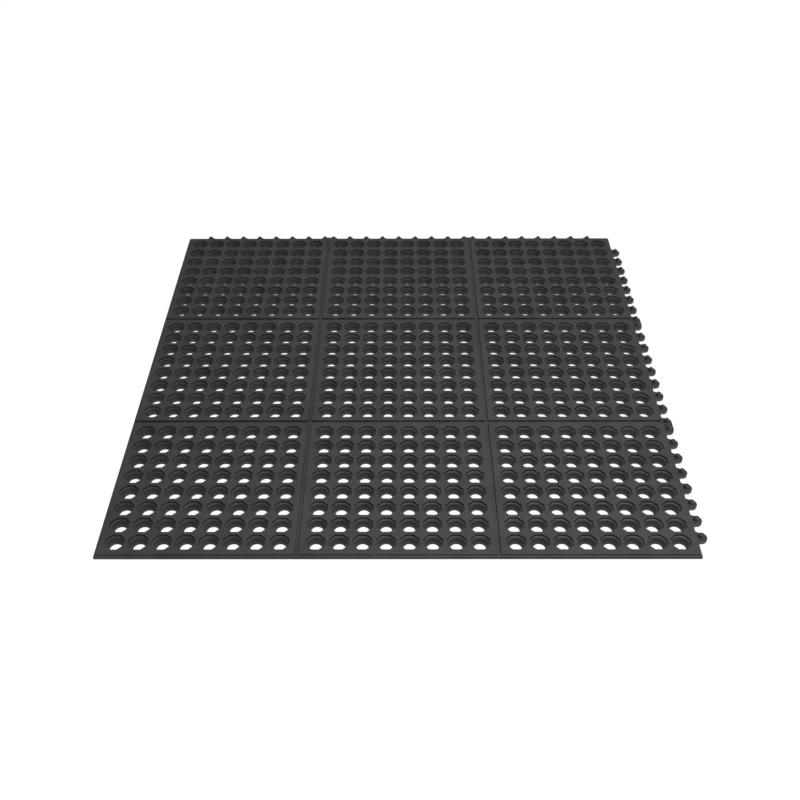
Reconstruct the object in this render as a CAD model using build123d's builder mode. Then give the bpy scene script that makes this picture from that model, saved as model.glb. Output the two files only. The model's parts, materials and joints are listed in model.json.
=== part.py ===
from build123d import *
import os

# Interlocking anti fatigue mat, moulded in black rubber.  Three by three sections meet at
# scored lines.  Each section is a grid of octagonal drain holes over short tubular feet.
# The front and left edges carry sockets underneath, and the back and right edges carry
# rounded tabs with buttons that snap into the sockets of the next mat.
# Millimetres.  Origin: centre of the overall footprint, on the floor.  +Z is up.

# ---- driving dimensions -------------------------------------------------------------------
module = 304.8                  # one section, measured from seam line to seam line
pitch = 35.72                   # from hole to hole
holes = 8                       # holes along one side of a section
thickness = 16.0                # floor to top surface
deck_bottom = 10.0              # underside of the perforated deck, on top of the feet
groove_width = 5.5              # scored line between two sections
groove_depth = 3.2
edge_outset = 27.2              # centre of an outer hole to the outer face of the mat
skirt_bottom = 7.2              # underside of the socket edges, above the tabs of the next mat

octagon_flats = 30.4            # drain hole at the top, across flats
octagon_depth = 3.6
bore_radius = 12.0              # round part of the drain hole
foot_radius = 14.0              # outside of a tubular foot
foot_mouth_radius = 10.4        # drain hole where the foot meets the floor

tab_outset = pitch              # centre of an outer hole to the line of the buttons
tab_thickness = 6.7
button_radius = 4.2
button_top = 13.0
button_round = 1.2
socket_radius = 4.6
socket_top = 13.4
socket_wall = 2.0

fold_gap = 0.2                  # width of the cut that parts the columns below the fold lines

# ---- worked out from the driving dimensions -----------------------------------------------
field = holes * pitch                           # side of the square grid of one section
span = (holes - 1) * pitch                      # first to last hole of a section
notch_radius = tab_outset - edge_outset         # scallop between two tabs
tab_radius = pitch / 2 - notch_radius           # rounded end of a tab
tip_outset = tab_outset + tab_radius
socket_outset = module - span - tab_outset      # where the next mat puts its buttons
hole_offset = (edge_outset - tip_outset) / 2    # centre of all holes, seen from the origin
first_hole = hole_offset - module - span / 2
last_hole = hole_offset + module + span / 2
low_face = first_hole - edge_outset             # front and left faces
high_face = last_hole + edge_outset             # back and right faces
button_line = last_hole + tab_outset
tip_line = last_hole + tip_outset
socket_line = first_hole - socket_outset
seams = [hole_offset - module / 2, hole_offset + module / 2]
ledge = edge_outset - (module - span - groove_width) / 2
groove_floor = thickness - groove_depth
low_grid = first_hole - pitch / 2               # outer limits of the grids
high_grid = last_hole + pitch / 2
reach = 2 * module                              # longer than half the mat, for cuts

from_low_corner = (Align.MIN, Align.MIN, Align.MIN)
on_floor = (Align.CENTER, Align.CENTER, Align.MIN)
columns = ["left", "centre", "right"]
rows = ["front", "middle", "back"]
centres = [hole_offset + (i - 1) * module for i in range(3)]
starts = [low_face, seams[0] + fold_gap / 2, seams[1] + fold_gap / 2]
ends = [seams[0] - fold_gap / 2, seams[1] - fold_gap / 2, high_face]

os.makedirs("parts", exist_ok=True)

# The scored lines between the sections, and the matching ledge that runs round the outside.
with BuildSketch(Plane.XY.offset(groove_floor)) as grooves:
    widths = [groove_width, groove_width, 2 * ledge, 2 * ledge]
    for line, width in zip(seams + [low_face, high_face], widths):
        with Locations((line, hole_offset)):
            Rectangle(width, 2 * reach)
        with Locations((hole_offset, line)):
            Rectangle(2 * reach, width)


def spot(side, along, out):
    """A point on a front or back edge, or the same point mirrored to a left or right edge."""
    return (along, out) if side in ("front", "back") else (out, along)


def socket_centres(section):
    """Places along an edge of the sockets, and of the tabs, in one of its three sections."""
    first = centres[section] - span / 2 + pitch / 2
    low = 0 if section == 0 else -1
    high = holes if section < 2 else holes - 1
    return [first + i * pitch for i in range(low, high)]


def socket_spots(side, section):
    """Socket centres of one section on a socket edge, as points in plan."""
    return [spot(side, along, socket_line) for along in socket_centres(section)]


# The round bosses of all the sockets, which reach in under the deck beside the edges.
with BuildSketch(Plane.XY.offset(deck_bottom)) as bosses:
    for side in ("front", "left"):
        for section in range(3):
            with Locations(*socket_spots(side, section)):
                Circle(socket_radius + socket_wall)


def make_grid(column, row):
    """Perforated deck of one section: octagonal pockets that narrow to round bores."""
    with BuildPart() as grid:
        with BuildSketch(Plane.XY.offset(deck_bottom)):
            with Locations((centres[column], centres[row])):
                Rectangle(field, field)
                with GridLocations(pitch, pitch, holes, holes):
                    Circle(bore_radius, mode=Mode.SUBTRACT)
        extrude(amount=thickness - deck_bottom)
        with BuildSketch(Plane.XY.offset(thickness - octagon_depth)):
            with Locations((centres[column], centres[row])):
                with GridLocations(pitch, pitch, holes, holes):
                    RegularPolygon(octagon_flats / 2, 8, major_radius=False, rotation=22.5)
        extrude(amount=octagon_depth, mode=Mode.SUBTRACT)
        if row == 0 or column == 0:
            extrude(bosses.sketch, amount=thickness - deck_bottom, mode=Mode.SUBTRACT)
    name = f"{rows[row]}_{columns[column]}_grid"
    grid.part.label = name
    export_step(grid.part, f"parts/{name}.step")


def make_feet(column, row):
    """The short tubes that one section stands on, one under each drain hole."""
    with BuildPart() as feet:
        with Locations((centres[column], centres[row])):
            with GridLocations(pitch, pitch, holes, holes):
                Cylinder(foot_radius, deck_bottom, align=on_floor)
                Cone(foot_mouth_radius, bore_radius, deck_bottom, align=on_floor, mode=Mode.SUBTRACT)
    name = f"{rows[row]}_{columns[column]}_feet"
    feet.part.label = name
    export_step(feet.part, f"parts/{name}.step")


def make_strip(name, x_low, x_high, y_low, y_high, z_low):
    """A plain strip of the mat between grids or round the outside, with its grooves."""
    with BuildPart() as strip:
        with Locations((x_low, y_low, z_low)):
            Box(x_high - x_low, y_high - y_low, thickness - z_low, align=from_low_corner)
        extrude(grooves.sketch, amount=groove_depth, mode=Mode.SUBTRACT)
        extrude(bosses.sketch, amount=thickness - deck_bottom, mode=Mode.SUBTRACT)
    strip.part.label = name
    export_step(strip.part, f"parts/{name}.step")


def make_socket_edge(side, section):
    """Raised edge strip with blind sockets underneath, each in its own round boss."""
    along_low = low_grid if side == "left" and section == 0 else starts[section]
    along_high = high_grid if side == "left" and section == 2 else ends[section]
    length, width = spot(side, along_high - along_low, low_grid - low_face)
    with BuildPart() as edge:
        with Locations((*spot(side, along_low, low_face), skirt_bottom)):
            Box(length, width, thickness - skirt_bottom, align=from_low_corner)
        with BuildSketch(Plane.XY.offset(skirt_bottom)):
            with Locations(*socket_spots(side, section)):
                Circle(socket_radius + socket_wall)
        extrude(amount=thickness - skirt_bottom)
        extrude(grooves.sketch, amount=groove_depth, mode=Mode.SUBTRACT)
        with BuildSketch(Plane.XY.offset(skirt_bottom)):
            with Locations(*socket_spots(side, section)):
                Circle(socket_radius)
        extrude(amount=socket_top - skirt_bottom, mode=Mode.SUBTRACT)
    name = f"{side}_edge_{columns[section] if side == 'front' else rows[section]}"
    edge.part.label = name
    export_step(edge.part, f"parts/{name}.step")


def make_tabs(side, section):
    """Scalloped row of tabs along one section, each with the button that snaps into a socket."""
    along_low = first_hole if section == 0 else starts[section]
    along_high = last_hole if section == 2 else ends[section]
    tab_spots = socket_centres(section)
    hole_spots = [centres[section] - span / 2 + i * pitch for i in range(holes)]
    with BuildPart() as tabs:
        with BuildSketch(Plane.XY):
            for low, high, out in (
                (along_low, along_high, button_line),
                (along_low, tab_spots[0], tip_line if section > 0 else button_line),
                (tab_spots[-1], along_high, tip_line if section < 2 else button_line),
            ):
                with Locations(spot(side, (low + high) / 2, (high_face + out) / 2)):
                    Rectangle(*spot(side, high - low, out - high_face))
            with Locations(*[spot(side, along, button_line) for along in hole_spots]):
                Circle(notch_radius, mode=Mode.SUBTRACT)
            with Locations(*[spot(side, along, button_line) for along in tab_spots]):
                Circle(tab_radius)
            with Locations(spot(side, (along_low + along_high) / 2, high_face - tab_radius)):
                Rectangle(*spot(side, along_high - along_low, 2 * tab_radius), mode=Mode.SUBTRACT)
        extrude(amount=tab_thickness)
        with BuildSketch(Plane.XY.offset(tab_thickness)):
            with Locations(*[spot(side, along, button_line) for along in tab_spots]):
                Circle(button_radius)
        extrude(amount=button_top - tab_thickness)
        fillet(tabs.edges().group_by(Axis.Z)[-1], button_round)
    name = f"{side}_tabs_{columns[section] if side == 'back' else rows[section]}"
    tabs.part.label = name
    export_step(tabs.part, f"parts/{name}.step")


# ---- the nine sections --------------------------------------------------------------------
for column in range(3):
    for row in range(3):
        make_grid(column, row)
        make_feet(column, row)

# ---- strips beside the two fold lines, front to back --------------------------------------
grid_edges = [centre + side * field / 2 for centre in centres for side in (-1, 1)]
make_strip("left_fold_outer_strip", grid_edges[1], ends[0], low_grid, high_grid, deck_bottom)
make_strip("left_fold_inner_strip", starts[1], grid_edges[2], low_grid, high_grid, deck_bottom)
make_strip("right_fold_inner_strip", grid_edges[3], ends[1], low_grid, high_grid, deck_bottom)
make_strip("right_fold_outer_strip", starts[2], grid_edges[4], low_grid, high_grid, deck_bottom)

# ---- seam strips between the rows, left to right ------------------------------------------
for column in range(3):
    x_low = grid_edges[2 * column]
    x_high = grid_edges[2 * column + 1]
    make_strip(f"front_seam_{columns[column]}", x_low, x_high, grid_edges[1], grid_edges[2], deck_bottom)
    make_strip(f"back_seam_{columns[column]}", x_low, x_high, grid_edges[3], grid_edges[4], deck_bottom)

# ---- socket edges at the front and left, tab edges at the back and right -------------------
for section in range(3):
    make_socket_edge("front", section)
    make_socket_edge("left", section)
    make_strip(f"back_edge_{columns[section]}", starts[section], ends[section], high_grid, high_face, 0)
    y_low = low_grid if section == 0 else seams[section - 1]
    y_high = high_grid if section == 2 else seams[section]
    make_strip(f"right_edge_{rows[section]}", high_grid, high_face, y_low, y_high, 0)
    make_tabs("back", section)
    make_tabs("right", section)
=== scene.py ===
import json
import math

import bpy
import numpy as np
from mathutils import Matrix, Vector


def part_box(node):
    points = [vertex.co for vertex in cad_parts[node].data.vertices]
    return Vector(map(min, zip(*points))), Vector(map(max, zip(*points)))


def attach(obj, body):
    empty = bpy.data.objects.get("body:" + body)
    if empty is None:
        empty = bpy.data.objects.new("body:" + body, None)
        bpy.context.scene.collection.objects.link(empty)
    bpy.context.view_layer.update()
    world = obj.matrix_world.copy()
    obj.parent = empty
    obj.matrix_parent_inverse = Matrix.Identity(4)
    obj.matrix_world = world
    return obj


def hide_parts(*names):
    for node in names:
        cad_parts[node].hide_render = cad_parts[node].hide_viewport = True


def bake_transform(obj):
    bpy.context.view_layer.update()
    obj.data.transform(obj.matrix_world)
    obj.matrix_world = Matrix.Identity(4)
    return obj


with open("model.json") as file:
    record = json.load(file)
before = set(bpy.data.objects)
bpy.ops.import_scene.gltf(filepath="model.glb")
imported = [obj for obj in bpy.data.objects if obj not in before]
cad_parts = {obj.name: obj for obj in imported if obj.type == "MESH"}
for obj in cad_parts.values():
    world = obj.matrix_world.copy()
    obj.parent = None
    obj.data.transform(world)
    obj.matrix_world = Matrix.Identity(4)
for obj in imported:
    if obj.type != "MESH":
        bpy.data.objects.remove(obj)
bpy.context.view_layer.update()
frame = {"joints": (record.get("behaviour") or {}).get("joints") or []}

# An interlocking anti fatigue mat in black rubber, one moulding of three by three sections.
# Every piece is a surface worked out from arrays: drain-hole cells are square, octagonal and
# round rings of points, strips are height fields over the scored lines, and tabs are an
# outline carried up to a rounded edge.  Metres, in the frame of the CAD model.

MM = 0.001
COLUMNS = ("left", "centre", "right")
ROWS = ("front", "middle", "back")
BODIES = ("left_column", "centre_column", "right_column")

# ---- sizes read from the frame ------------------------------------------------------------


def low(node, axis):
    """Lowest coordinate of a CAD node along one axis."""
    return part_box(node)[0][axis]


def high(node, axis):
    """Highest coordinate of a CAD node along one axis."""
    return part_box(node)[1][axis]


TOP = high("front_left_grid", 2)
DECK_BOTTOM = low("front_left_grid", 2)
SKIRT_BOTTOM = low("front_edge_left", 2)
TAB_TOP_BUTTON = high("back_tabs_left", 2)
FIELD_LOW = [low(f"front_{name}_grid", 0) for name in COLUMNS]
FIELD = high("front_left_grid", 0) - low("front_left_grid", 0)
LOW_FACE = low("left_edge_front", 0)
HIGH_FACE = high("right_edge_front", 0)
TIP = high("right_tabs_front", 0)
LOW_GRID = FIELD_LOW[0]
HIGH_GRID = FIELD_LOW[2] + FIELD
SEAMS = [
    (high("left_fold_outer_strip", 0) + low("left_fold_inner_strip", 0)) / 2,
    (high("right_fold_inner_strip", 0) + low("right_fold_outer_strip", 0)) / 2,
]
GROOVE_FLOOR = frame["joints"][0]["pos_m"][2]

# ---- sizes of the moulded details ---------------------------------------------------------
HOLES = 8                                # drain holes along one side of a section
PITCH = FIELD / HOLES
OCTAGON = 14.95 * MM                     # centre of a drain hole to its flats
OCTAGON_FLOOR = TOP - 3.6 * MM
OCTAGON_DRAFT = 0.2 * MM                 # how far the octagonal wall leans in
LEDGE_RADIUS = 12.4 * MM                 # where the ledge under the octagon turns down
LEDGE_DROP = 1.1 * MM
BORE_RADIUS = 12.0 * MM
RIM_ROUND = 0.8 * MM
FOOT_RADIUS = 14.0 * MM
FOOT_STEP = 5.2 * MM                     # height at which the bore starts to narrow
FOOT_STEP_RADIUS = 11.7 * MM
FOOT_MOUTH = 9.5 * MM
FOOT_ROUND = 0.5 * MM
SKIRT_WALL = 3.2 * MM
TAB_TOP = 6.7 * MM
TAB_ROUND = 1.0 * MM
TAB_SPLIT = 0.01 * MM                    # half the hair line between neighbouring tabs
TAB_BEVEL = 0.4 * MM                     # small bevel where a tab meets the floor
TAB_ROOT = 0.4 * MM                      # how far a tab reaches into the edge strip
NOTCH = PITCH - (HIGH_FACE - HIGH_GRID + PITCH / 2)
TAB_RADIUS = PITCH / 2 - NOTCH
BUTTON_LINE = HIGH_FACE + NOTCH
BUTTON_RADIUS = 4.2 * MM
SOCKET_RADIUS = 4.6 * MM
SOCKET_WALL = 2.0 * MM
SOCKET_LINE = LOW_GRID - (SEAMS[0] - FIELD_LOW[0] - FIELD) / 8
STRIP_HALF = FIELD_LOW[1] - SEAMS[0]     # seam line to the edge of a grid

WELD_LINES = 1e6                         # welding grid lines in one metre
SHARP_ANGLE = math.radians(38)
TOUCH = 0.01 * MM                        # how near a limit a point counts as on it
NEAR = 1e-6                              # slack in comparing places along the strips


# ---- mesh helpers -------------------------------------------------------------------------


def add_piece(name, points, blocks, material, body=None, replaces=()):
    """Makes one piece from points and blocks of faces, and rides it on a body.

    Each block is an array of faces with the same number of corners.  Points at the same
    place are welded, so that cells and walls that touch share their edges.
    """
    grid = np.round(points * WELD_LINES).astype(np.int64)
    _, first, back = np.unique(grid, axis=0, return_index=True, return_inverse=True)
    back = back.reshape(-1)
    faces = [face for block in blocks for face in back[block].tolist()]
    mesh = bpy.data.meshes.new(name)
    mesh.from_pydata(points[first].tolist(), [], faces)
    mesh.update()
    mesh.shade_smooth()
    mesh.set_sharp_from_angle(angle=SHARP_ANGLE)
    piece = bpy.data.objects.new(name, mesh)
    bpy.context.scene.collection.objects.link(piece)
    weights = piece.modifiers.new("even_shading", "WEIGHTED_NORMAL")
    weights.keep_sharp = True
    mesh.materials.append(material)
    if body:
        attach(piece, body)
    for node_name in replaces:
        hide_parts(node_name)
    return piece


def ring_faces(rings, size):
    """Quads between successive closed rings of points, counted ring after ring."""
    start = np.arange(rings - 1)[:, None] * size
    here = np.arange(size)[None, :]
    after = (here + 1) % size
    quads = np.stack([start + here, start + size + here, start + size + after, start + after], -1)
    return quads.reshape(-1, 4)


def repeat(points, blocks, centres):
    """Copies one shape to many centres, as one array of points and matching face blocks."""
    moved = (points[None, :, :] + centres[:, None, :]).reshape(-1, 3)
    shift = np.arange(len(centres))[:, None, None] * len(points)
    return moved, [(block[None, :, :] + shift).reshape(-1, block.shape[1]) for block in blocks]


def lathe(profile, spokes, close=False):
    """A profile of (radius, height) pairs turned about the upright axis: x is radius times
    cosine, y is radius times sine.  Flat caps end it unless the profile closes on itself.
    The profile runs from the top down the outside, so that faces point outwards."""
    angle = np.arange(spokes) * 2 * np.pi / spokes
    radius, height = np.array(profile).T
    x = radius[:, None] * np.cos(angle)
    y = radius[:, None] * np.sin(angle)
    z = np.broadcast_to(height[:, None], x.shape)
    points = np.stack([x, y, z], -1).reshape(-1, 3)
    blocks = [ring_faces(len(profile), spokes)]
    if not close:
        cap = np.arange(spokes)
        blocks.append(np.stack([cap, cap[::-1] + (len(profile) - 1) * spokes]))
    return points, blocks


def section_centres(column, row):
    """The 64 hole centres of one section, on the floor."""
    steps = (np.arange(HOLES) + 0.5) * PITCH
    x, y = np.meshgrid(FIELD_LOW[column] + steps, FIELD_LOW[row] + steps, indexing="ij")
    return np.stack([x.ravel(), y.ravel(), np.zeros(x.size)], -1)


# ---- drain holes and feet -----------------------------------------------------------------
SPOKES = 16                              # points round a circle
FLATS = 8                                # sides of the octagon
SQUARE_POINTS = 12                       # points round the square of a cell


def octagon_ring(flats, z):
    """The eight corners of an octagon with flats facing the axes: radius over cos 22.5."""
    angle = (np.arange(FLATS) + 0.5) * 2 * np.pi / FLATS
    reach = flats / math.cos(np.pi / FLATS)
    return np.stack([reach * np.cos(angle), reach * np.sin(angle), np.full(FLATS, z)], -1)


def circle_ring(radius, z):
    """Sixteen points on a circle, every second one in line with a corner of the octagon."""
    angle = (np.arange(SPOKES) + 1) * 2 * np.pi / SPOKES
    return np.stack([radius * np.cos(angle), radius * np.sin(angle), np.full(SPOKES, z)], -1)


def square_ring(z):
    """Twelve points on the square of one cell: its four corners, and the points straight out
    from the octagon's corners, half a pitch along the axis that each one faces."""
    half = PITCH / 2
    near = half * math.tan(np.pi / FLATS)
    quarter = np.array([[half, near], [half, half], [near, half]])
    turns = [quarter]
    for _ in range(3):
        quarter = np.stack([-quarter[:, 1], quarter[:, 0]], -1)
        turns.append(quarter)
    flat = np.concatenate(turns)
    return np.column_stack([flat, np.full(len(flat), z)])


def deck_cell():
    """One drain hole in its square of deck: flat top, rounded octagonal rim, steep octagonal
    wall, sloping ledge, round bore, and the flat underside back to the square.

    Diagonal sides of the octagon reach the square over a pentagon with the square's corner,
    straight sides over a four-sided face.  Ledge faces join one side of the octagon to two
    steps of the circle.
    """
    quarter = 0.25 * RIM_ROUND
    parts = [
        square_ring(TOP),
        octagon_ring(OCTAGON + RIM_ROUND, TOP),
        octagon_ring(OCTAGON + quarter, TOP - quarter),
        octagon_ring(OCTAGON, TOP - RIM_ROUND),
        octagon_ring(OCTAGON - OCTAGON_DRAFT, OCTAGON_FLOOR),
        circle_ring(LEDGE_RADIUS, OCTAGON_FLOOR - LEDGE_DROP),
        circle_ring(BORE_RADIUS, DECK_BOTTOM),
        square_ring(DECK_BOTTOM),
    ]
    square, rim, _, _, pocket, ledge, bore, under = np.cumsum([0] + [len(part) for part in parts[:-1]])
    corner = np.arange(0, FLATS, 2)
    out = 3 * (corner // 2)
    after_corner = corner + 1
    next_corner = (corner + 2) % FLATS
    next_out = (out + 3) % SQUARE_POINTS
    diagonal = [rim + corner, square + out, square + out + 1, square + out + 2, rim + after_corner]
    straight = [rim + after_corner, square + out + 2, square + next_out, rim + next_corner]
    side = np.arange(FLATS)
    next_side = (side + 1) % FLATS
    step = 2 * side
    last_step = (step + 2) % SPOKES
    ledge_faces = [pocket + side, pocket + next_side, ledge + last_step, ledge + step + 1, ledge + step]
    turn = 2 * corner
    last_turn = (turn + 4) % SPOKES
    below_diagonal = [
        bore + turn + 1, bore + turn + 2, under + out + 2, under + out + 1, under + out, bore + turn,
    ]
    below_straight = [
        bore + turn + 3, bore + last_turn, under + next_out, under + out + 2, bore + turn + 2,
    ]
    blocks = [
        np.stack(diagonal, -1),
        np.stack(straight, -1),
        (ring_faces(4, FLATS) + rim)[:, ::-1],
        np.stack(ledge_faces, -1),
        (ring_faces(2, SPOKES) + ledge)[:, ::-1],
        np.stack(below_diagonal, -1),
        np.stack(below_straight, -1),
    ]
    return np.concatenate(parts), blocks, under


def make_deck(column, row, material):
    """The perforated deck of one section, with side walls where it meets the strips."""
    points, blocks, under_start = deck_cell()
    centres = section_centres(column, row)
    all_points, all_blocks = repeat(points, blocks, centres)
    cells = all_points.reshape(len(centres), len(points), 3)
    limits = np.array([FIELD_LOW[column], FIELD_LOW[row]])
    here = cells[:, :SQUARE_POINTS, :2]
    after = np.roll(here, -1, axis=1)
    outside = np.zeros(here.shape[:2], bool)
    for limit in (limits, limits + FIELD):
        outside |= (np.abs(here - limit) + np.abs(after - limit) < TOUCH).any(-1)
    cell, spoke = np.nonzero(outside)
    base = cell * len(points)
    follow = (spoke + 1) % SQUARE_POINTS
    under = base + under_start
    walls = np.stack([base + spoke, under + spoke, under + follow, base + follow], -1)
    name = f"{ROWS[row]}_{COLUMNS[column]}_deck"
    node_name = f"{ROWS[row]}_{COLUMNS[column]}_grid"
    add_piece(name, all_points, all_blocks + [walls], material, BODIES[column], [node_name])


def make_feet(column, row, material):
    """The tubular feet of one section: outer wall, rim on the floor, mouth, step, bore."""
    profile = [
        (FOOT_RADIUS, DECK_BOTTOM),
        (FOOT_RADIUS - FOOT_ROUND, 0),
        (FOOT_MOUTH, 0),
        (FOOT_STEP_RADIUS, FOOT_STEP),
        (BORE_RADIUS, DECK_BOTTOM),
        (FOOT_RADIUS, DECK_BOTTOM),
    ]
    points, blocks = lathe(profile, SPOKES, close=True)
    points, blocks = repeat(points, blocks, section_centres(column, row))
    name = f"{ROWS[row]}_{COLUMNS[column]}_drain_feet"
    node_name = f"{ROWS[row]}_{COLUMNS[column]}_feet"
    add_piece(name, points, blocks, material, BODIES[column], [node_name])


# ---- strips with scored lines -------------------------------------------------------------
DEPTH = TOP - GROOVE_FLOOR
GROOVE_OFFSETS = np.array([0, 0.9, 1.8, 2.4, 2.6, 2.7, 2.8, 3.0, 3.4]) * MM
WALL_DROPS = [DEPTH, DEPTH - 0.05 * MM, DEPTH - 0.35 * MM, 2.0 * MM, 0.6 * MM, 0.15 * MM, 0]
GROOVE_DROPS = np.array([DEPTH, DEPTH, *WALL_DROPS])
EDGE_OFFSETS = np.array([0, 0.25, 0.9, 2.2, 2.45, 2.6, 2.7, 2.9, 3.3]) * MM
EDGE_DROPS = np.array([DEPTH + 0.9 * MM, DEPTH + 0.25 * MM, *WALL_DROPS])


def line_drop(values):
    """How far the top lies below the deck level at a distance across the scored lines: the
    groove profile about each seam line, and the ledge profile in from each outer face."""
    drops = [np.interp(np.abs(values - seam), GROOVE_OFFSETS, GROOVE_DROPS) for seam in SEAMS]
    drops.append(np.interp(values - LOW_FACE, EDGE_OFFSETS, EDGE_DROPS))
    drops.append(np.interp(HIGH_FACE - values, EDGE_OFFSETS, EDGE_DROPS))
    return np.max(drops, axis=0)


def stations(start, end, extra=()):
    """Grid lines from start to end: every corner of the groove and ledge profiles between."""
    marks = [start, end, *extra]
    for seam in SEAMS:
        marks += list(seam + GROOVE_OFFSETS) + list(seam - GROOVE_OFFSETS)
    marks += list(LOW_FACE + EDGE_OFFSETS) + list(HIGH_FACE - EDGE_OFFSETS)
    inside = [mark for mark in marks if start - 0.1 * NEAR <= mark <= end + 0.1 * NEAR]
    return np.unique(np.round(np.array(inside) * WELD_LINES)) / WELD_LINES


def height_field(name, xs, ys, top, bottom, material, body=None, replaces=()):
    """A closed slab over a grid of x and y lines, with a top height and a bottom height at
    each crossing: the two surfaces plus the four side walls between their borders."""
    x, y = np.meshgrid(xs, ys, indexing="ij")
    upper = np.stack([x, y, top], -1).reshape(-1, 3)
    lower = np.stack([x, y, bottom], -1).reshape(-1, 3)
    count = x.size
    index = np.arange(count).reshape(x.shape)
    a, b, c, d = index[:-1, :-1], index[1:, :-1], index[1:, 1:], index[:-1, 1:]
    up = np.stack([a, b, c, d], -1).reshape(-1, 4)
    down = np.stack([a, d, c, b], -1).reshape(-1, 4) + count
    border = np.concatenate([index[:, 0], index[-1, 1:], index[-2::-1, -1], index[0, -2:0:-1]])
    after = np.roll(border, -1)
    sides = np.stack([border, border + count, after + count, after], -1)
    return add_piece(name, np.concatenate([upper, lower]), [up, down, sides], material, body, replaces)


def strip_bottom(x, y):
    """Underside of the strips: deck level inside, the floor under the tab edges, and skirt
    level under the outer wall of the socket edges."""
    bottom = np.full(x.shape, DECK_BOTTOM)
    beyond_x, beyond_y = x > HIGH_GRID - NEAR, y > HIGH_GRID - NEAR
    skirt = LOW_FACE + SKIRT_WALL + NEAR
    bottom[(x < skirt) & ~beyond_y] = SKIRT_BOTTOM
    bottom[beyond_x | beyond_y] = 0
    bottom[y < skirt] = SKIRT_BOTTOM
    bottom[beyond_x & (y < LOW_GRID + NEAR)] = SKIRT_BOTTOM
    return bottom


SKIRT_INSIDE = LOW_FACE + SKIRT_WALL
STEP_RUN = 0.1 * MM                      # how far a step in the underside leans
BOTTOM_STEPS = (SKIRT_INSIDE, SKIRT_INSIDE + STEP_RUN, HIGH_GRID - STEP_RUN, HIGH_GRID)




def make_strip(name, x_low, x_high, y_low, y_high, material, body=None, replaces=()):
    """A strip of the mat between the grids or round the outside, with its scored lines."""
    xs = stations(x_low, x_high, BOTTOM_STEPS)
    ys = stations(y_low, y_high, BOTTOM_STEPS)
    x, y = np.meshgrid(xs, ys, indexing="ij")
    top = TOP - np.maximum(line_drop(x), line_drop(y))
    bottom = strip_bottom(x, y)
    return height_field(name, xs, ys, top, bottom, material, body, replaces)


def place(side, along, out, z):
    """Points given along and out from an edge, turned to the front/back or left/right side."""
    first, second = (along, out) if side in ("front", "back") else (out, along)
    return np.stack([first, second, z], -1)


# ---- tabs, buttons and sockets ------------------------------------------------------------
def tab_centres(section):
    """Where the tabs and sockets of one section lie along an edge: half way between holes,
    and half a pitch beyond the end hole on each side that has a neighbouring section."""
    start = FIELD_LOW[section] + (PITCH if section == 0 else 0)
    end = FIELD_LOW[section] + FIELD - (PITCH if section == 2 else 0)
    return np.arange(round((end - start) / PITCH) + 1) * PITCH + start


def tab_outline(inset, part, steps=7):
    """Half or whole outline of a tab seen from above, starting and ending at the mat.

    A quarter circle of the notch radius sweeps out from the mat, a half circle of the tab
    radius goes round the end, and a quarter circle comes back.  The inset moves every
    point inwards, which widens the notches and shrinks the end.
    """
    quarter = np.linspace(0, np.pi / 2, steps)
    notch = NOTCH + inset
    left_x = TAB_SPLIT - PITCH / 2 + notch * np.sin(quarter)
    left_y = NOTCH - notch * np.cos(quarter)
    half = np.linspace(np.pi, 0, 2 * steps - 1)[1:-1]
    end = TAB_RADIUS - inset
    x = np.concatenate([left_x, end * np.cos(half), -left_x[::-1]])
    y = np.concatenate([left_y, NOTCH + end * np.sin(half), left_y[::-1]])
    root = min(left_y[0], 0)
    if part == "low":
        keep = x <= 1e-9
        return np.append(x[keep], 0), np.append(y[keep], root)
    if part == "high":
        keep = x >= -1e-9
        return np.append(0, x[keep]), np.append(root, y[keep])
    return x, y


def tab_shape(part, side, along):
    """One tab: its outline on the floor, up the wall, over the rounded edge, and a flat top."""
    levels = [(TAB_BEVEL, 0), (0, TAB_BEVEL), (0, TAB_TOP - TAB_ROUND)]
    levels += [(TAB_ROUND * 0.3, TAB_TOP - TAB_ROUND * 0.3), (TAB_ROUND, TAB_TOP)]
    rings = []
    for inset, z in levels:
        x, y = tab_outline(inset, part)
        out = HIGH_FACE + np.maximum(y, -TAB_ROOT)
        rings.append(place(side, along + x, out, np.full(len(x), z)))
    size = len(rings[0])
    flip = 1 if side == "back" else -1
    loop = np.arange(size)
    quads = ring_faces(len(rings), size)[:, ::flip]
    caps = np.stack([(loop + (len(rings) - 1) * size)[::-flip], loop[::flip]])
    return np.concatenate(rings), [quads, caps]


def join_shapes(shapes):
    """Several (points, blocks) shapes as one."""
    points, blocks, start = [], [], 0
    for shape_points, shape_blocks in shapes:
        points.append(shape_points)
        blocks += [block + start for block in shape_blocks]
        start += len(shape_points)
    return np.concatenate(points), blocks


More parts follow.
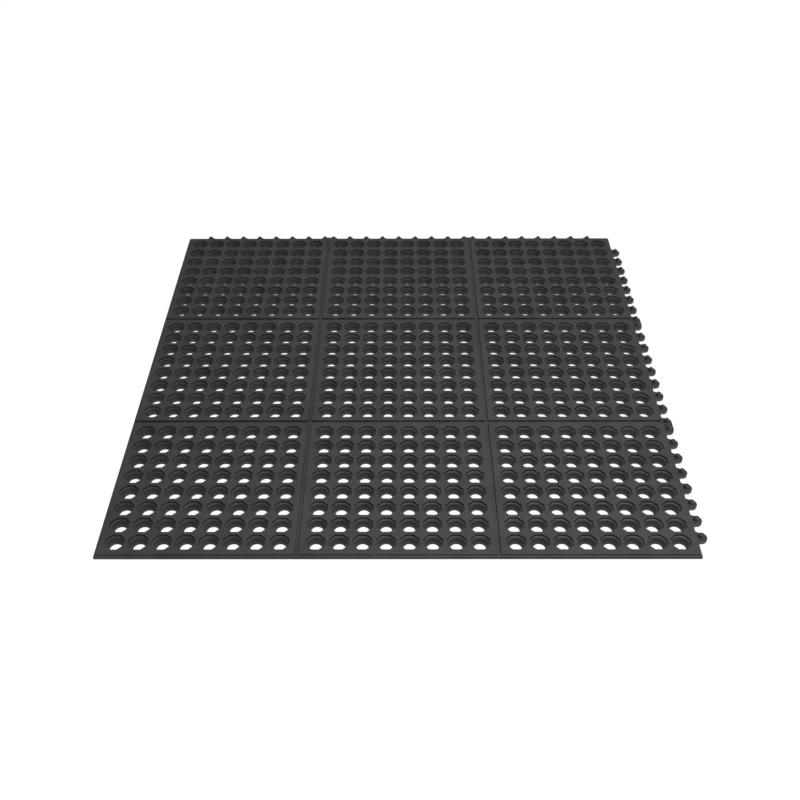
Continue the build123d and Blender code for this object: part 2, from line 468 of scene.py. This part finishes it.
def make_tabs(side, section, material, body):
    """The row of tabs along one section, and their buttons as a second piece.

    A button is a turned shape: flared root, straight side, rounded top.
    """
    centres = tab_centres(section)
    parts = ["whole"] * len(centres)
    if section > 0:
        parts[0] = "high"
    if section < 2:
        parts[-1] = "low"
    label = COLUMNS[section] if side == "back" else ROWS[section]
    tabs = [tab_shape(part, side, along) for part, along in zip(parts, centres)]
    points, blocks = join_shapes(tabs)
    add_piece(f"{side}_tab_row_{label}", points, blocks, material, body, [f"{side}_tabs_{label}"])
    profile = [
        (BUTTON_RADIUS - 1.4 * MM, TAB_TOP_BUTTON - 0.05 * MM),
        (BUTTON_RADIUS - 0.5 * MM, TAB_TOP_BUTTON - 0.45 * MM),
        (BUTTON_RADIUS - 0.1 * MM, TAB_TOP_BUTTON - 1.3 * MM),
        (BUTTON_RADIUS, TAB_TOP + 1.0 * MM),
        (BUTTON_RADIUS + 0.25 * MM, TAB_TOP + 0.35 * MM),
        (BUTTON_RADIUS + 0.9 * MM, TAB_TOP - 0.1 * MM),
    ]
    button, button_blocks = lathe(profile, SPOKES)
    spots = np.stack([place(side, along, BUTTON_LINE, 0.0) for along in centres])
    points, blocks = repeat(button, button_blocks, spots)
    add_piece(f"{side}_buttons_{label}", points, blocks, material, body)


def make_tab_bridge(name, side, seam, material, body=None):
    """The web that joins the two tabs beside a scored line, a slab with a straight edge."""
    bends = GROOVE_OFFSETS[:5]
    across = np.unique(np.concatenate([[-STRIP_HALF, STRIP_HALF], bends, -bends]))
    bend = 0.3 * TAB_ROUND
    out = np.array([HIGH_FACE - TAB_ROOT, HIGH_FACE + 1 * MM, TIP - TAB_ROUND, TIP - bend, TIP])
    drop = np.array([0, 0, 0, bend, TAB_ROUND])
    if side == "back":
        xs, ys = seam + across, out
        top = TAB_TOP - np.broadcast_to(drop[None, :], (len(xs), len(ys)))
    else:
        xs, ys = out, seam + across
        top = TAB_TOP - np.broadcast_to(drop[:, None], (len(xs), len(ys)))
    return height_field(name, xs, ys, top, np.zeros(top.shape), material, body)


def make_socket_cups(side, section, material, body):
    """The round bosses under a socket edge, each with its blind hole: a turned shape
    that goes down the outside, round the lip, and up the inside to the hole's flat end."""
    profile = [
        (SOCKET_RADIUS + SOCKET_WALL, DECK_BOTTOM + 0.2 * MM),
        (SOCKET_RADIUS + SOCKET_WALL - 0.1 * MM, SKIRT_BOTTOM + 0.3 * MM),
        (SOCKET_RADIUS + SOCKET_WALL - 0.4 * MM, SKIRT_BOTTOM),
        (SOCKET_RADIUS + 0.3 * MM, SKIRT_BOTTOM),
        (SOCKET_RADIUS, SKIRT_BOTTOM + 0.3 * MM),
        (SOCKET_RADIUS, DECK_BOTTOM - 0.05 * MM),
    ]
    cup, cup_blocks = lathe(profile, SPOKES)
    spots = np.stack([place(side, along, SOCKET_LINE, 0.0) for along in tab_centres(section)])
    points, blocks = repeat(cup, cup_blocks, spots)
    label = COLUMNS[section] if side == "front" else ROWS[section]
    add_piece(f"{side}_socket_cups_{label}", points, blocks, material, body)


# ---- materials ----------------------------------------------------------------------------
def group_socket(group, name, direction, kind, value=None):
    """Adds one named socket to a node group."""
    socket = group.interface.new_socket(name=name, in_out=direction, socket_type=kind)
    if value is not None:
        socket.default_value = value


def node(tree, kind, **settings):
    """Adds a shader node and sets its properties."""
    made = tree.nodes.new(kind)
    for key, value in settings.items():
        setattr(made, key, value)
    return made


def noise(tree, vector, scale, detail=3.0, roughness=0.55):
    """A noise texture on a vector, with its scale in cycles per metre."""
    made = node(tree, "ShaderNodeTexNoise")
    made.inputs["Scale"].default_value = scale
    made.inputs["Detail"].default_value = detail
    made.inputs["Roughness"].default_value = roughness
    tree.links.new(vector, made.inputs["Vector"])
    return made.outputs["Fac"]


def ramp(tree, value, low_in, high_in, low_out=0.0, high_out=1.0):
    """Maps a value from one range to another, clamped."""
    made = node(tree, "ShaderNodeMapRange")
    made.inputs["From Min"].default_value = low_in
    made.inputs["From Max"].default_value = high_in
    made.inputs["To Min"].default_value = low_out
    made.inputs["To Max"].default_value = high_out
    tree.links.new(value, made.inputs["Value"])
    return made.outputs["Result"]


def product(tree, first, second):
    """Multiplies two values."""
    made = node(tree, "ShaderNodeMath", operation="MULTIPLY")
    tree.links.new(first, made.inputs[0])
    tree.links.new(second, made.inputs[1])
    return made.outputs[0]


def mixed(tree, factor, first, second):
    """Goes from a first colour to a second as the factor goes from 0 to 1."""
    made = node(tree, "ShaderNodeMix", data_type="RGBA")
    tree.links.new(factor, made.inputs["Factor"])
    tree.links.new(first, made.inputs["A"])
    tree.links.new(second, made.inputs["B"])
    return made.outputs["Result"]


def build_grain_group():
    """Moulded grain: a fine pebble left by the mould over slow waviness of the rubber."""
    group = bpy.data.node_groups.new("moulded_grain", "ShaderNodeTree")
    group_socket(group, "Vector", "INPUT", "NodeSocketVector")
    group_socket(group, "Grain", "INPUT", "NodeSocketFloat", 0.5)
    group_socket(group, "Waviness", "INPUT", "NodeSocketFloat", 0.5)
    group_socket(group, "Height", "OUTPUT", "NodeSocketFloat")
    enter = node(group, "NodeGroupInput")
    leave = node(group, "NodeGroupOutput")
    fine = noise(group, enter.outputs["Vector"], 1500, 2.0, 0.6)
    slow = noise(group, enter.outputs["Vector"], 60, 2.0, 0.5)
    grain = product(group, fine, enter.outputs["Grain"])
    total = node(group, "ShaderNodeMath", operation="MULTIPLY_ADD")
    group.links.new(slow, total.inputs[0])
    group.links.new(enter.outputs["Waviness"], total.inputs[1])
    group.links.new(grain, total.inputs[2])
    group.links.new(total.outputs[0], leave.inputs["Height"])


def build_bloom_group():
    """Colour of the rubber: black with a pale bloom in cloudy patches and fine pale specks."""
    group = bpy.data.node_groups.new("rubber_bloom", "ShaderNodeTree")
    group_socket(group, "Vector", "INPUT", "NodeSocketVector")
    group_socket(group, "Rubber", "INPUT", "NodeSocketColor", (0.03, 0.03, 0.03, 1))
    group_socket(group, "Bloom", "INPUT", "NodeSocketColor", (0.1, 0.1, 0.1, 1))
    group_socket(group, "Amount", "INPUT", "NodeSocketFloat", 0.5)
    group_socket(group, "Color", "OUTPUT", "NodeSocketColor")
    group_socket(group, "Mask", "OUTPUT", "NodeSocketFloat")
    enter = node(group, "NodeGroupInput")
    leave = node(group, "NodeGroupOutput")
    clouds = ramp(group, noise(group, enter.outputs["Vector"], 22, 5.0, 0.62), 0.35, 0.72)
    specks = ramp(group, noise(group, enter.outputs["Vector"], 420, 2.0, 0.5), 0.6, 0.78, 0.0, 0.5)
    both = node(group, "ShaderNodeMath", operation="ADD", use_clamp=True)
    group.links.new(clouds, both.inputs[0])
    group.links.new(specks, both.inputs[1])
    mask = product(group, both.outputs[0], enter.outputs["Amount"])
    colour = mixed(group, mask, enter.outputs["Rubber"], enter.outputs["Bloom"])
    group.links.new(colour, leave.inputs["Color"])
    group.links.new(mask, leave.inputs["Mask"])


def build_light_and_shade_group():
    """Painted light and shade: a lit colour on faces that look up, the darker Rubber colour on walls.

    The upward part of the face's normal is mapped to 0..1 and broken up by a slow noise.
    Faces sunk to the floor of the octagon or lower keep the share of it given as Sunk: painted shade.
    """
    group = bpy.data.node_groups.new("painted_light_and_shade", "ShaderNodeTree")
    group_socket(group, "Vector", "INPUT", "NodeSocketVector")
    group_socket(group, "Normal", "INPUT", "NodeSocketVector")
    group_socket(group, "Rubber", "INPUT", "NodeSocketColor", (0.02, 0.02, 0.02, 1))
    group_socket(group, "Lit Top", "INPUT", "NodeSocketColor", (0.05, 0.05, 0.05, 1))
    group_socket(group, "Warm", "INPUT", "NodeSocketColor", (0.05, 0.05, 0.05, 1))
    group_socket(group, "Sunk", "INPUT", "NodeSocketFloat", 1.0)
    group_socket(group, "Color", "OUTPUT", "NodeSocketColor")
    enter = node(group, "NodeGroupInput")
    leave = node(group, "NodeGroupOutput")
    parts = node(group, "ShaderNodeSeparateXYZ")
    group.links.new(enter.outputs["Normal"], parts.inputs[0])
    facing = ramp(group, parts.outputs["Z"], 0.2, 0.8)
    patchy = ramp(group, noise(group, enter.outputs["Vector"], 35, 4.0, 0.6), 0.3, 0.7, 0.8, 1.0)
    height = node(group, "ShaderNodeSeparateXYZ")
    group.links.new(enter.outputs["Vector"], height.inputs[0])
    raised = ramp(group, height.outputs["Z"], OCTAGON_FLOOR, TOP - RIM_ROUND)
    group.links.new(enter.outputs["Sunk"], raised.node.inputs["To Min"])
    lit_share = product(group, facing, raised)
    mask = product(group, lit_share, patchy)
    warmth = ramp(group, noise(group, enter.outputs["Vector"], 14, 4.0, 0.6), 0.42, 0.62)
    tint = mixed(group, warmth, enter.outputs["Lit Top"], enter.outputs["Warm"])
    colour = mixed(group, mask, enter.outputs["Rubber"], tint)
    group.links.new(colour, leave.inputs["Color"])


def rubber_material(
    name, wall, lit_top, warm, bloom, amount, rough, grain, waviness, bump, specular, sunk=1.0
):
    """Black moulded rubber built from the painted light-and-shade, grain and bloom groups."""
    material = bpy.data.materials.new(name)
    material.use_nodes = True
    tree = material.node_tree
    shader = tree.nodes["Principled BSDF"]
    place_on = node(tree, "ShaderNodeTexCoord")
    grain_node = node(tree, "ShaderNodeGroup", node_tree=bpy.data.node_groups["moulded_grain"])
    bloom_node = node(tree, "ShaderNodeGroup", node_tree=bpy.data.node_groups["rubber_bloom"])
    tree.links.new(place_on.outputs["Object"], grain_node.inputs["Vector"])
    tree.links.new(place_on.outputs["Object"], bloom_node.inputs["Vector"])
    grain_node.inputs["Grain"].default_value = grain
    grain_node.inputs["Waviness"].default_value = waviness
    # Painted light on faces that look up, painted shade (the darker wall colour) on walls and sunk
    # faces.
    light_and_shade_node = node(tree, "ShaderNodeGroup", node_tree=bpy.data.node_groups["painted_light_and_shade"])
    tree.links.new(place_on.outputs["Object"], light_and_shade_node.inputs["Vector"])
    tree.links.new(place_on.outputs["Normal"], light_and_shade_node.inputs["Normal"])
    light_and_shade_node.inputs["Rubber"].default_value = (*wall, 1)
    light_and_shade_node.inputs["Lit Top"].default_value = (*lit_top, 1)
    light_and_shade_node.inputs["Warm"].default_value = (*warm, 1)
    light_and_shade_node.inputs["Sunk"].default_value = sunk
    tree.links.new(light_and_shade_node.outputs["Color"], bloom_node.inputs["Rubber"])
    bloom_node.inputs["Bloom"].default_value = (*bloom, 1)
    bloom_node.inputs["Amount"].default_value = amount
    tree.links.new(bloom_node.outputs["Color"], shader.inputs["Base Color"])
    roughness = ramp(tree, bloom_node.outputs["Mask"], 0, 1, rough[0], rough[1])
    tree.links.new(roughness, shader.inputs["Roughness"])
    bump_node = node(tree, "ShaderNodeBump")
    bump_node.inputs["Strength"].default_value = bump
    bump_node.inputs["Distance"].default_value = 0.15 * MM
    tree.links.new(grain_node.outputs["Height"], bump_node.inputs["Height"])
    tree.links.new(bump_node.outputs["Normal"], shader.inputs["Normal"])
    shader.inputs["Specular IOR Level"].default_value = specular
    return material


build_grain_group()
build_bloom_group()
build_light_and_shade_group()
# Lit-top colours: painted light on faces that look up, with a warm variant mixed in at random.
LIT_TOP = (0.056, 0.049, 0.0565)
WARM = (0.053, 0.049, 0.047)
BLOOM = (0.095, 0.086, 0.093)
# Deck: the dark wall colour is painted shade on octagon walls and bore; sunk=0.6 is painted shade on
# the ledges in the holes.
deck_rubber = rubber_material(
    "deck_rubber", wall=(0.0215, 0.0192, 0.0212), lit_top=LIT_TOP, warm=WARM, bloom=BLOOM,
    amount=0.35, rough=(0.55, 0.66), grain=0.8, waviness=1.2, bump=0.5, specular=0.4, sunk=0.6,
)
# Strips: the very dark wall colour is painted shade on the walls of the scored grooves and edge ledges.
strip_rubber = rubber_material(
    "strip_rubber", wall=(0.010, 0.0092, 0.010), lit_top=LIT_TOP, warm=WARM, bloom=BLOOM,
    amount=0.35, rough=(0.55, 0.66), grain=0.8, waviness=1.2, bump=0.5, specular=0.4,
)
# Feet: the dark wall colour is painted shade in the bore; the bright lit-top colour is painted light on
# the up-facing taper at the mouth.
foot_rubber = rubber_material(
    "foot_rubber", wall=(0.028, 0.026, 0.0275), lit_top=(0.120, 0.113, 0.118),
    warm=(0.110, 0.107, 0.100), bloom=(0.070, 0.067, 0.070),
    amount=0.30, rough=(0.55, 0.70), grain=0.5, waviness=0.8, bump=0.35, specular=0.3,
)
# Tabs: the slightly lighter lit-top colour is painted light on tab tops and buttons over the walls.
tab_rubber = rubber_material(
    "tab_rubber", wall=(0.034, 0.032, 0.034), lit_top=(0.038, 0.035, 0.0375),
    warm=(0.036, 0.035, 0.033), bloom=(0.085, 0.080, 0.084),
    amount=0.35, rough=(0.45, 0.60), grain=0.6, waviness=1.0, bump=0.4, specular=0.5,
)

# ---- the nine sections --------------------------------------------------------------------
for column in range(3):
    for row in range(3):
        make_deck(column, row, deck_rubber)
        make_feet(column, row, foot_rubber)

# ---- strips, edges, tabs ------------------------------------------------------------------
for index, seam in enumerate(SEAMS):
    side = ("left", "right")[index]
    seam_low, seam_high = seam - STRIP_HALF, seam + STRIP_HALF
    strip = make_strip(f"{side}_fold_strip", seam_low, seam_high, LOW_FACE, HIGH_FACE, strip_rubber)
    bridge = make_tab_bridge(f"{side}_fold_tab_bridge", "back", seam, tab_rubber)
    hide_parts(f"{side}_fold_outer_strip")
    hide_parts(f"{side}_fold_inner_strip")
    for piece in (strip, bridge):
        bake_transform(piece)


def strip_piece(name, node_name, x_span, y_span, body):
    """A strip between two x and two y limits that stands in for one CAD node."""
    make_strip(name, *x_span, *y_span, strip_rubber, body, [node_name])


for section, (body, column, row) in enumerate(zip(BODIES, COLUMNS, ROWS)):
    field = (FIELD_LOW[section], FIELD_LOW[section] + FIELD)
    x_span = (field[0] if section else LOW_FACE, field[1] if section < 2 else HIGH_FACE)
    low_span, high_span = (LOW_FACE, LOW_GRID), (HIGH_GRID, HIGH_FACE)
    strip_piece(f"front_socket_edge_{column}", f"front_edge_{column}", x_span, low_span, body)
    strip_piece(f"back_tab_edge_{column}", f"back_edge_{column}", x_span, high_span, body)
    for line, seam in zip(("front", "back"), SEAMS):
        seam_span = (seam - STRIP_HALF, seam + STRIP_HALF)
        strip_piece(f"{line}_seam_strip_{column}", f"{line}_seam_{column}", field, seam_span, body)
    make_tabs("back", section, tab_rubber, body)
    make_socket_cups("front", section, foot_rubber, body)
    y_span = (SEAMS[section - 1] if section else LOW_GRID, SEAMS[section] if section < 2 else HIGH_GRID)
    strip_piece(f"left_socket_edge_{row}", f"left_edge_{row}", low_span, y_span, BODIES[0])
    strip_piece(f"right_tab_edge_{row}", f"right_edge_{row}", high_span, y_span, BODIES[2])
    make_tabs("right", section, tab_rubber, BODIES[2])
    make_socket_cups("left", section, foot_rubber, BODIES[0])
for line, seam in zip(("front", "back"), SEAMS):
    make_tab_bridge(f"right_tab_bridge_{line}", "right", seam, tab_rubber, BODIES[2])


# ---- floor, light and camera --------------------------------------------------------------
FLOOR_HALF = 6.0
FLOOR_LEVEL = -0.2 * MM                  # just under the mat, so that the two never share a plane
SENSOR = 36
LENS = 45.91
CAMERA_PLACE = (-0.00194, -1.48728, 1.17286)
CAMERA_TURN = (50.096, 0.124, 0.060)     # degrees
AIR_STRENGTH = 0.22


def make_floor():
    """A plain white studio floor, white by its own emission alone, so it takes no shadow."""
    mesh = bpy.data.meshes.new("studio_floor")
    corners = [(-1, -1), (1, -1), (1, 1), (-1, 1)]
    points = [(FLOOR_HALF * x, FLOOR_HALF * y, FLOOR_LEVEL) for x, y in corners]
    mesh.from_pydata(points, [], [(0, 1, 2, 3)])
    floor = bpy.data.objects.new("studio_floor", mesh)
    bpy.context.scene.collection.objects.link(floor)
    material = bpy.data.materials.new("studio_white")
    material.use_nodes = True
    shader = material.node_tree.nodes["Principled BSDF"]
    shader.inputs["Base Color"].default_value = (0.02, 0.02, 0.02, 1)
    shader.inputs["Roughness"].default_value = 0.9
    shader.inputs["Specular IOR Level"].default_value = 0.0
    shader.inputs["Emission Color"].default_value = (1, 1, 1, 1)
    shader.inputs["Emission Strength"].default_value = 1.0
    mesh.materials.append(material)


def make_light(name, place_at, size, power):
    """A square softbox that points at the middle of the mat."""
    light = bpy.data.lights.new(name, "AREA")
    light.size = size
    light.energy = power
    lamp = bpy.data.objects.new(name, light)
    lamp.location = place_at
    target = -lamp.location
    lamp.rotation_euler = target.to_track_quat("-Z", "Y").to_euler()
    bpy.context.scene.collection.objects.link(lamp)


def make_camera():
    """A standing person's view from the front, looking down on the mat."""
    lens = bpy.data.cameras.new("studio_camera")
    lens.sensor_width = SENSOR
    lens.lens = LENS
    camera = bpy.data.objects.new("studio_camera", lens)
    camera.location = CAMERA_PLACE
    camera.rotation_euler = [math.radians(angle) for angle in CAMERA_TURN]
    bpy.context.scene.collection.objects.link(camera)
    bpy.context.scene.camera = camera


make_floor()
make_light("key_softbox", (0.5, -0.75, 1.6), size=0.8, power=24)
make_light("back_sheen", (0.2, 2.4, 1.5), size=1.8, power=4)
make_camera()
world = bpy.data.worlds.new("studio_air")
world.use_nodes = True
background = world.node_tree.nodes["Background"]
background.inputs["Color"].default_value = (1, 1, 1, 1)
background.inputs["Strength"].default_value = AIR_STRENGTH
bpy.context.scene.world = world
bpy.context.scene.view_settings.view_transform = "Standard"
